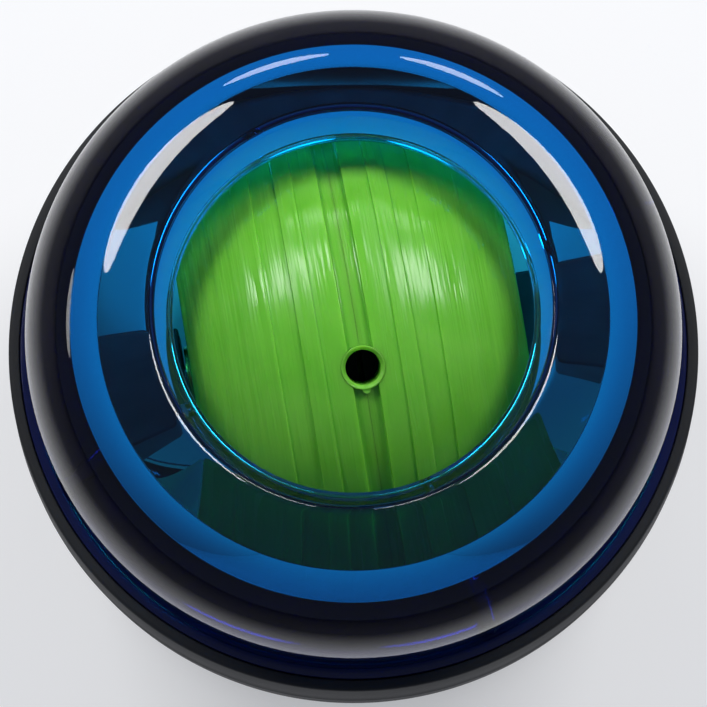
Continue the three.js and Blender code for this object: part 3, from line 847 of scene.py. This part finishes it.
def case_screws():
    """Self-tapping screws with a cross recess, standing in the case's four wells."""
    shank = SCREW_TIP - SCREW_POINT_LENGTH - SCREW_SEAT
    sizes = {
        "Count": ("NodeSocketInt", SCREW_COUNT),
        "First Angle": ("NodeSocketFloat", math.radians(FIRST_SCREW_DEG)),
        "Circle Radius": ("NodeSocketFloat", SCREW_CIRCLE_RADIUS * MM),
        "Seat Height": ("NodeSocketFloat", (STAND_HEIGHT + SCREW_SEAT - SEAT_GAP) * MM),
        "Core Radius": ("NodeSocketFloat", SCREW_CORE_RADIUS * MM),
        "Thread Radius": ("NodeSocketFloat", SCREW_THREAD_RADIUS * MM),
        "Pitch": ("NodeSocketFloat", SCREW_PITCH * MM),
        "Shank Length": ("NodeSocketFloat", shank * MM),
        "Point Length": ("NodeSocketFloat", SCREW_POINT_LENGTH * MM),
        "Head Radius": ("NodeSocketFloat", SCREW_HEAD_RADIUS * MM),
        "Head Height": ("NodeSocketFloat", SCREW_HEAD_HEIGHT * MM),
        "Cross Width": ("NodeSocketFloat", CROSS_WIDTH * MM),
        "Cross Length": ("NodeSocketFloat", CROSS_LENGTH * MM),
        "Cross Depth": ("NodeSocketFloat", CROSS_DEPTH * MM),
    }
    tree = bpy.data.node_groups.new("case_screw_set", "GeometryNodeTree")
    identifiers = {}
    for name, (kind, _) in sizes.items():
        identifiers[name] = tree.interface.new_socket(name, in_out="INPUT", socket_type=kind).identifier
    tree.interface.new_socket("Geometry", in_out="OUTPUT", socket_type="NodeSocketGeometry")
    given = add_node(tree, "NodeGroupInput").outputs

    half_shank = add_node(tree, "ShaderNodeMath", {"operation": "MULTIPLY"}, {
        0: given["Shank Length"],
        1: 0.5,
    })
    under_seat = add_node(tree, "ShaderNodeMath", {"operation": "MULTIPLY"}, {
        0: given["Head Height"],
        1: -1.0,
    })
    to_core = add_node(tree, "ShaderNodeCombineXYZ", None, {"Z": half_shank.outputs["Value"]})
    to_point = add_node(tree, "ShaderNodeCombineXYZ", None, {"Z": given["Shank Length"]})
    to_head = add_node(tree, "ShaderNodeCombineXYZ", None, {"Z": under_seat.outputs["Value"]})
    to_seat = add_node(tree, "ShaderNodeCombineXYZ", None, {"Z": given["Seat Height"]})
    core = add_node(tree, "GeometryNodeMeshCylinder", None, {
        "Vertices": SCREW_FACETS,
        "Radius": given["Core Radius"],
        "Depth": given["Shank Length"],
    })
    core_up = add_node(tree, "GeometryNodeTransform", None, {
        "Geometry": core.outputs["Mesh"],
        "Translation": to_core.outputs["Vector"],
    })
    point = add_node(tree, "GeometryNodeMeshCone", None, {
        "Vertices": SCREW_FACETS,
        "Radius Top": 0.0,
        "Radius Bottom": given["Core Radius"],
        "Depth": given["Point Length"],
    })
    point_up = add_node(tree, "GeometryNodeTransform", None, {
        "Geometry": point.outputs["Mesh"],
        "Translation": to_point.outputs["Vector"],
    })
    turns = add_node(tree, "ShaderNodeMath", {"operation": "DIVIDE"}, {
        0: given["Shank Length"],
        1: given["Pitch"],
    })
    crest = add_node(tree, "GeometryNodeCurveSpiral", None, {
        "Resolution": THREAD_STEPS,
        "Rotations": turns.outputs[0],
        "Start Radius": given["Core Radius"],
        "End Radius": given["Core Radius"],
        "Height": given["Shank Length"],
    })
    ridge_size = add_node(tree, "ShaderNodeMath", {"operation": "SUBTRACT"}, {
        0: given["Thread Radius"],
        1: given["Core Radius"],
    })
    ridge = add_node(tree, "GeometryNodeCurvePrimitiveCircle", None, {
        "Resolution": 4,
        "Radius": ridge_size.outputs[0],
    })
    thread = add_node(tree, "GeometryNodeCurveToMesh", None, {
        "Curve": crest.outputs["Curve"],
        "Profile Curve": ridge.outputs["Curve"],
        "Fill Caps": True,
    })
    head = add_node(tree, "GeometryNodeMeshCone", None, {
        "Vertices": SCREW_HEAD_FACETS,
        "Side Segments": 3,
        "Radius Top": given["Head Radius"],
        "Radius Bottom": given["Head Radius"],
        "Depth": given["Head Height"],
    })
    head_down = add_node(tree, "GeometryNodeTransform", None, {
        "Geometry": head.outputs["Mesh"],
        "Translation": to_head.outputs["Vector"],
    })
    bar_size = add_node(tree, "ShaderNodeCombineXYZ", None, {
        "X": given["Cross Length"],
        "Y": given["Cross Width"],
        "Z": given["Cross Depth"],
    })
    bar = add_node(tree, "GeometryNodeMeshCube", None, {"Size": bar_size.outputs["Vector"]})
    bar_across = add_node(tree, "GeometryNodeTransform", None, {
        "Geometry": bar.outputs["Mesh"],
        "Rotation": (0, 0, math.radians(90)),
    })
    cross = add_node(tree, "GeometryNodeMeshBoolean", {"operation": "UNION", "solver": "EXACT"})
    tree.links.new(bar.outputs["Mesh"], cross.inputs["Mesh 2"])
    tree.links.new(bar_across.outputs["Geometry"], cross.inputs["Mesh 2"])
    cross_down = add_node(tree, "GeometryNodeTransform", None, {
        "Geometry": cross.outputs["Mesh"],
        "Translation": to_head.outputs["Vector"],
    })
    head_cut = add_node(tree, "GeometryNodeMeshBoolean", {"operation": "DIFFERENCE", "solver": "EXACT"}, {
        "Mesh 1": head_down.outputs["Geometry"],
        "Mesh 2": cross_down.outputs["Geometry"],
    })
    screw = add_node(tree, "GeometryNodeJoinGeometry")
    shank_parts = (core_up.outputs["Geometry"], point_up.outputs["Geometry"], thread.outputs["Mesh"])
    for part in (*shank_parts, head_cut.outputs["Mesh"]):
        tree.links.new(part, screw.inputs["Geometry"])
    circle = add_node(tree, "GeometryNodeMeshCircle", None, {
        "Vertices": given["Count"],
        "Radius": given["Circle Radius"],
    })
    turn = add_node(tree, "ShaderNodeCombineXYZ", None, {"Z": given["First Angle"]})
    stations = add_node(tree, "GeometryNodeTransform", None, {
        "Geometry": circle.outputs["Mesh"],
        "Translation": to_seat.outputs["Vector"],
        "Rotation": turn.outputs["Vector"],
    })
    copies = add_node(tree, "GeometryNodeInstanceOnPoints", None, {
        "Points": stations.outputs["Geometry"],
        "Instance": screw.outputs["Geometry"],
    })
    real = add_node(tree, "GeometryNodeRealizeInstances", None, {"Geometry": copies.outputs["Instances"]})
    coated = add_node(tree, "GeometryNodeSetMaterial", None, {
        "Geometry": real.outputs["Geometry"],
        "Material": plated_screw_steel,
    })
    add_node(tree, "NodeGroupOutput", None, {"Geometry": coated.outputs["Geometry"]})

    carrier = bpy.data.objects.new("case_screw_carrier", bpy.data.meshes.new("case_screw_carrier"))
    bpy.context.scene.collection.objects.link(carrier)
    maker = carrier.modifiers.new("case_screw_set", "NODES")
    maker.node_group = tree
    for name, (_, value) in sizes.items():
        maker[identifiers[name]] = value
    evaluated = carrier.evaluated_get(bpy.context.evaluated_depsgraph_get())
    mesh = bpy.data.meshes.new_from_object(evaluated)
    carrier.modifiers.remove(maker)
    bpy.data.objects.remove(carrier)
    work = bmesh.new()
    work.from_mesh(mesh)
    bmesh.ops.remove_doubles(work, verts=work.verts, dist=MERGE_DISTANCE * MM)
    bpy.data.meshes.remove(mesh)
    screws = piece_from("case_screw_set", work)
    return dressed(screws, plated_screw_steel)


# Precession ring and its bushes

def precession_ring():
    """Grey ring with two blocks that hold the axle's bushes."""
    ring = turned("precession_ring_moulding", rounded([
        (RING_INNER, -RING_HALF_HEIGHT, RING_EDGE_ROUND),
        (RING_OUTER, -RING_HALF_HEIGHT, RING_EDGE_ROUND),
        (RING_OUTER, RING_HALF_HEIGHT, RING_EDGE_ROUND),
        (RING_INNER, RING_HALF_HEIGHT, RING_EDGE_ROUND),
    ]), CASE_FACETS)
    block_outer = (RING_INNER + RING_OUTER) / 2
    for side in (-1, 1):
        near, far = sorted((side * BLOCK_INNER, side * block_outer))
        half_height = RING_HALF_HEIGHT - SEAT_GAP / 2
        low = (near, -BLOCK_HALF_WIDTH, -half_height)
        high = (far, BLOCK_HALF_WIDTH, half_height)
        combine(ring, block("lug", low, high, BLOCK_EDGE_ROUND), "UNION")
    bore_radius = AXLE_RADIUS + RUNNING_GAP + BUSH_WALL + RUNNING_GAP
    bore_end = RING_OUTER + OVERRUN
    bore = rod("bore", bore_radius, -bore_end, bore_end, AXLE_FACETS)
    combine(ring, placed(bore, along_axle), "DIFFERENCE")
    return dressed(placed(ring, ring_place), nylon)


def axle_tube(name, inner, outer, start, end, rounding, place, material):
    near = [(inner, start, rounding), (outer, start, rounding)]
    far = [(outer, end, rounding), (inner, end, rounding)]
    tube = turned(name, rounded(near + far, steps=3), AXLE_FACETS)
    return dressed(placed(tube, place @ along_axle), material)


def axle_shaft():
    """Ground steel shaft with a thin rolling tip and a drilled centre at each end."""
    shoulder = RING_OUTER + SEAT_GAP
    end = shoulder + TIP_LENGTH
    half = [
        (AXLE_RADIUS, shoulder, MOULDED_ROUND),
        (TIP_RADIUS, shoulder, MOULDED_ROUND),
        (TIP_RADIUS, end, TIP_ROUND),
        (CENTRE_DRILL_RADIUS, end),
        (0, end - CENTRE_DRILL_DEPTH),
    ]
    other = [(point[0], -point[1], *point[2:]) for point in reversed(half)]
    shaft = turned("axle_shaft_ground", rounded(half + other), AXLE_FACETS)
    return dressed(placed(shaft, rotor_place @ along_axle), ground_steel)


# Rotor

def ball_radius(distance, step=0):
    """Radius of the rotor's ball at a distance from its middle."""
    return math.sqrt((ROTOR_RADIUS - step) ** 2 - distance ** 2)


def band(from_distance, to_distance, step, steps):
    """Points across one band of the ball."""
    distances = [from_distance + (to_distance - from_distance) * i / steps for i in range(steps + 1)]
    return [(ball_radius(d, step), d) for d in distances]


def band_edge(distance, step):
    """The rounded corner at the edge of a band."""
    return (ball_radius(distance, step), distance, STEP_ROUND)


def rotor_half(side, hand):
    """Ball end with shallow bands, its side of the string groove and a pocket for the weight."""
    sleeve_outer = AXLE_RADIUS + SEAT_GAP + HUB_SLEEVE_WALL
    bore = sleeve_outer + RUNNING_GAP
    groove_edge = GROOVE_WIDTH / 2
    flat_radius = ball_radius(ROTOR_HALF_WIDTH)
    groove_floor = ball_radius(groove_edge) - GROOVE_DEPTH
    pocket_inner = bore + HUB_WALL
    pocket_outer = ROTOR_RADIUS - ROTOR_WALL - GROOVE_DEPTH
    pocket_depth = WEIGHT_THICKNESS + 2 * PRESS_GAP
    end_start = ROTOR_HALF_WIDTH - ROTOR_EDGE_ROUND
    seam = HALVES_FIT / 2
    corners = [
        (bore, seam),
        (bore, ROTOR_HALF_WIDTH, MOULDED_ROUND),
        (flat_radius, ROTOR_HALF_WIDTH, ROTOR_EDGE_ROUND),
        *band(end_start, OUTER_BAND_EDGE, 0, steps=30)[:-1],
        band_edge(OUTER_BAND_EDGE, 0),
        band_edge(OUTER_BAND_EDGE, BAND_STEP),
        *band(OUTER_BAND_EDGE, MIDDLE_BAND_EDGE, BAND_STEP, steps=8)[1:-1],
        band_edge(MIDDLE_BAND_EDGE, BAND_STEP),
        band_edge(MIDDLE_BAND_EDGE, 0),
        *band(MIDDLE_BAND_EDGE, INNER_BAND_EDGE, 0, steps=6)[1:-1],
        band_edge(INNER_BAND_EDGE, 0),
        band_edge(INNER_BAND_EDGE, BAND_STEP),
        *band(INNER_BAND_EDGE, groove_edge, BAND_STEP, steps=8)[1:-1],
        (ball_radius(groove_edge, BAND_STEP), groove_edge, GROOVE_EDGE_ROUND),
        (groove_floor, groove_edge, GROOVE_EDGE_ROUND),
        (groove_floor, seam),
        (pocket_outer, seam),
        (pocket_outer, WEIGHT_RIM_LENGTH + PRESS_GAP),
        (pocket_outer - WEIGHT_TAPER, pocket_depth),
        (pocket_inner, pocket_depth),
        (pocket_inner, seam),
    ]
    outline = rounded([(corner[0], side * corner[1], *corner[2:]) for corner in corners])
    half = placed(turned(f"rotor_half_{hand}_lime", outline, ROTOR_FACETS), along_axle)
    hole_radius = STRING_HOLE_RADIUS + EYELET_WALL + EYELET_FIT
    hole_bottom = ROTOR_RADIUS - EYELET_LENGTH - OVERRUN
    hole = rod("hole", hole_radius, hole_bottom, ROTOR_RADIUS + OVERRUN, AXLE_FACETS)
    combine(half, hole, "DIFFERENCE")
    return dressed(placed(half, rotor_place), rotor_lime)


def string_eyelet():
    """Bush that lines the string hole, with a countersunk mouth and the nub of its moulding gate."""
    outer = STRING_HOLE_RADIUS + EYELET_WALL
    top = ROTOR_RADIUS - BAND_STEP
    eyelet = turned("string_eyelet_lime", rounded([
        (STRING_HOLE_RADIUS, ROTOR_RADIUS - EYELET_LENGTH, MOULDED_ROUND),
        (outer, ROTOR_RADIUS - EYELET_LENGTH, MOULDED_ROUND),
        (outer, top, MOULDED_ROUND),
        (STRING_HOLE_RADIUS + EYELET_COUNTERSINK, top, MOULDED_ROUND),
        (STRING_HOLE_RADIUS, top - EYELET_COUNTERSINK, MOULDED_ROUND),
    ]), AXLE_FACETS)
    nub = rod("gate_nub", GATE_NUB_RADIUS, top - GATE_NUB_HEIGHT, top - MOULDED_ROUND)
    combine(eyelet, placed(nub, Matrix.Translation((0, -outer * MM, 0))), "UNION")
    return dressed(placed(eyelet, rotor_place), eyelet_lime)


stands_for(upper_shell(), "case", "clear_blue", "upper_shell")
stands_for(upper_race_ring(), "case", "black_plastic", "upper_race_ring")
stands_for(lower_race_ring(), "case", "black_plastic", "lower_race_ring")
stands_for(lower_shell(), "case", "lower_blue", "lower_shell")
stands_for(grip_sleeve(), "case", "rubber", "grip_sleeve")
stands_for(foot_pad(), "case", "rubber", "foot_pad")
screw_nodes = [f"case_screw_{i + 1}" for i in range(SCREW_COUNT)]
stands_for(case_screws(), "case", "steel", *screw_nodes)

bush_inner = AXLE_RADIUS + RUNNING_GAP
bush_outer = bush_inner + BUSH_WALL
washer_start = ROTOR_HALF_WIDTH + SEAT_GAP
stands_for(precession_ring(), "ring", "nylon", "precession_ring")
for hand, side in (("left", -1), ("right", 1)):
    bush_ends = (side * BLOCK_INNER, side * (RING_OUTER - PRESS_GAP))
    bush_shape = (bush_inner, bush_outer, *bush_ends, TUBE_EDGE_ROUND)
    bush = axle_tube(f"axle_bush_{hand}_brass", *bush_shape, ring_place, turned_brass)
    stands_for(bush, "ring", "brass", f"axle_bush_{hand}")
    washer_ends = (side * washer_start, side * (washer_start + WASHER_THICKNESS))
    washer_shape = (bush_inner, WASHER_RADIUS, *washer_ends, TUBE_EDGE_ROUND)
    washer = axle_tube(f"washer_{hand}_brass", *washer_shape, rotor_place, turned_brass)
    stands_for(washer, "rotor", "brass", f"thrust_washer_{hand}")
    stands_for(rotor_half(side, hand), "rotor", "lime_plastic", f"rotor_half_{hand}")
    dressed(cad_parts[f"flywheel_weight_{hand}"], cast_iron)
dressed(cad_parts["hub_sleeve"], turned_brass)
stands_for(axle_shaft(), "rotor", "steel", "axle_shaft")
stands_for(string_eyelet(), "rotor", "lime_plastic", "string_eyelet")


# Studio: a white table with a painted pool of light round the ball and a painted shadow under it, a dim
# bluish room, two soft windows and two doorways behind the ball, and a lamp at its left

CAMERA_DISTANCE = 350
CAMERA_ELEVATION_DEG = 79.5
PHOTO_WIDTH_PX = 707
FOCAL_PX = 3300
SENSOR_WIDTH = 36
TABLE_WIDTH = 4000
# Painted shadow: the table's glow is lowered under the ball
SHADE_INNER = 24
SHADE_OUTER = 38
SHADE_STRENGTH = 0.14
# Painted pool of light: the table glows round the ball and fades towards the edge
GLOW_STRENGTH = 0.45
GLOW_INNER = 58
GLOW_OUTER = 170
# Painted pool of light: the table's colour is paler round the ball than towards the edge
TABLE_POOL_DIM_COLOUR = "#747477"
TABLE_POOL_LIT_COLOUR = "#c4c4c4"
ROOM_COLOUR = (0.75, 0.9, 1.35, 1)
ROOM_STRENGTH = 0.13

middle = Vector((0, 0, STAND_HEIGHT * MM))
table_mesh = bpy.data.meshes.new("table")
half_table = TABLE_WIDTH * MM / 2
table_corners = [(-half_table, -half_table, 0), (half_table, -half_table, 0)]
table_corners += [(half_table, half_table, 0), (-half_table, half_table, 0)]
table_mesh.from_pydata(table_corners, [], [(0, 1, 2, 3)])
table = bpy.data.objects.new("table", table_mesh)
bpy.context.scene.collection.objects.link(table)
painted_light_table, table_tree = blank("opal_acrylic_painted_light")
# Painted light: a glowing pool, paler round the ball and fading to the edge, with painted shadow under the
# ball
table_place = add_node(table_tree, "ShaderNodeTexCoord")
from_middle = add_node(table_tree, "ShaderNodeVectorMath", {"operation": "LENGTH"}, {
    0: table_place.outputs["Object"],
})
glow = add_node(table_tree, "ShaderNodeMapRange", {"interpolation_type": "SMOOTHSTEP"}, {
    "Value": from_middle.outputs["Value"],
    "From Min": GLOW_INNER * MM,
    "From Max": GLOW_OUTER * MM,
    "To Min": 1.0,
    "To Max": 0.0,
})
# Painted pool of light: the table's colour is paler round the ball
white = add_node(table_tree, "ShaderNodeMix", {"data_type": "RGBA"}, {
    "Factor": glow.outputs["Result"],
    "A": linear(TABLE_POOL_DIM_COLOUR),
    "B": linear(TABLE_POOL_LIT_COLOUR),
})
# Painted shadow: the glow drops under the ball
shade = add_node(table_tree, "ShaderNodeMapRange", {"interpolation_type": "SMOOTHSTEP"}, {
    "Value": from_middle.outputs["Value"],
    "From Min": SHADE_INNER * MM,
    "From Max": SHADE_OUTER * MM,
    "To Min": SHADE_STRENGTH,
    "To Max": GLOW_STRENGTH,
})
# Painted light: the glow that stands in for light pooling round the ball, less under it
painted_glow_strength = add_node(table_tree, "ShaderNodeMath", {"operation": "MULTIPLY"}, {
    0: glow.outputs["Result"],
    1: shade.outputs["Result"],
})
table_surface = add_node(table_tree, "ShaderNodeBsdfPrincipled", None, {
    "Base Color": white.outputs["Result"],
    "Roughness": 0.6,
    "Emission Color": linear("#ffffff"),
    "Emission Strength": painted_glow_strength.outputs["Value"],
})
add_node(table_tree, "ShaderNodeOutputMaterial", None, {"Surface": table_surface.outputs["BSDF"]})
dressed(table, painted_light_table)

room = bpy.data.worlds.new("dim_room")
room.use_nodes = True
room.node_tree.nodes.clear()
sky = add_node(room.node_tree, "ShaderNodeBackground", None, {
    "Color": ROOM_COLOUR,
    "Strength": ROOM_STRENGTH,
})
add_node(room.node_tree, "ShaderNodeOutputWorld", None, {"Surface": sky.outputs["Background"]})
bpy.context.scene.world = room


def softbox(name, azimuth_deg, elevation_deg, distance, width, height, radiance):
    """An oval soft light, in metres, that faces the ball."""
    azimuth = math.radians(azimuth_deg)
    elevation = math.radians(elevation_deg)
    flat = math.cos(elevation) * distance
    place = Vector((flat * math.cos(azimuth), flat * math.sin(azimuth), math.sin(elevation) * distance))
    lamp = bpy.data.lights.new(name, "AREA")
    lamp.shape = "ELLIPSE"
    lamp.size = width
    lamp.size_y = height
    lamp.energy = radiance * math.pi ** 2 * width * height / 4
    light = bpy.data.objects.new(name, lamp)
    bpy.context.scene.collection.objects.link(light)
    light.location = middle + place
    light.rotation_euler = (-place).to_track_quat("-Z", "Y").to_euler()


window = {"elevation_deg": 47.5, "distance": 0.8, "width": 0.43, "height": 0.22, "radiance": 13}
doorway = {"elevation_deg": 26, "distance": 1.6, "width": 0.5, "height": 0.16, "radiance": 8}
side_lamp = {"elevation_deg": 14.5, "distance": 1.6, "width": 0.5, "height": 0.12, "radiance": 4}
softbox("left_window", azimuth_deg=134, **window)
softbox("right_window", azimuth_deg=46, **window)
softbox("left_doorway", azimuth_deg=104, **doorway)
softbox("right_doorway", azimuth_deg=72, **doorway)
softbox("side_lamp", azimuth_deg=169, **side_lamp)

camera_data = bpy.data.cameras.new("camera")
camera_data.sensor_width = SENSOR_WIDTH
camera_data.lens = SENSOR_WIDTH * FOCAL_PX / PHOTO_WIDTH_PX
camera_data.clip_start = 0.01
camera = bpy.data.objects.new("camera", camera_data)
bpy.context.scene.collection.objects.link(camera)
elevation = math.radians(CAMERA_ELEVATION_DEG)
camera.location = middle + Vector((0, -math.cos(elevation), math.sin(elevation))) * CAMERA_DISTANCE * MM
camera.rotation_euler = (math.radians(90 - CAMERA_ELEVATION_DEG), 0, 0)
bpy.context.scene.camera = camera
bpy.context.scene.view_settings.view_transform = "Standard"
